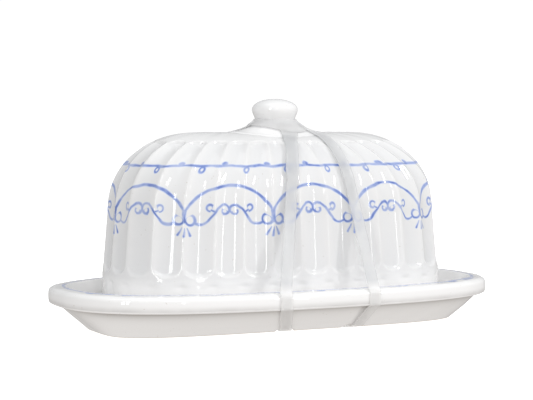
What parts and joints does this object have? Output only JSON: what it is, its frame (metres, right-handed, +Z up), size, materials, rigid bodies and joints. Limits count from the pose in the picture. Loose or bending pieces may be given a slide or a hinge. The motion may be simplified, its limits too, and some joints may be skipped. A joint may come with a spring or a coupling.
{
  "type": "butter dish",
  "caption": "Covered butter dish: oval footed plate, fluted dome lid with a mushroom knob, and a flat elastic band that holds the lid on the plate.",
  "frame": {"origin": "under the centre of the plate, on the surface that the foot ring stands on", "axes": "+X along the dish's long axis, +Y towards its back long side, +Z up"},
  "size_m": [0.21, 0.1096, 0.1026],
  "materials": {
    "plate_glaze": "gloss",
    "lid_glaze": "gloss",
    "knob_glaze": "gloss",
    "band": "satin"
  },
  "bodies": {
    "plate": {"plate": "plate_glaze", "retaining_band": "band"},
    "lid": {"lid_shell": "lid_glaze", "lid_knob": "knob_glaze"}
  },
  "joints": [
    {"name": "lid_lift", "type": "slide", "parent": "plate", "child": "lid", "axis": [0, 0, 1], "range_m": [0, 0.09], "deforming": ["retaining_band"]}
  ]
}
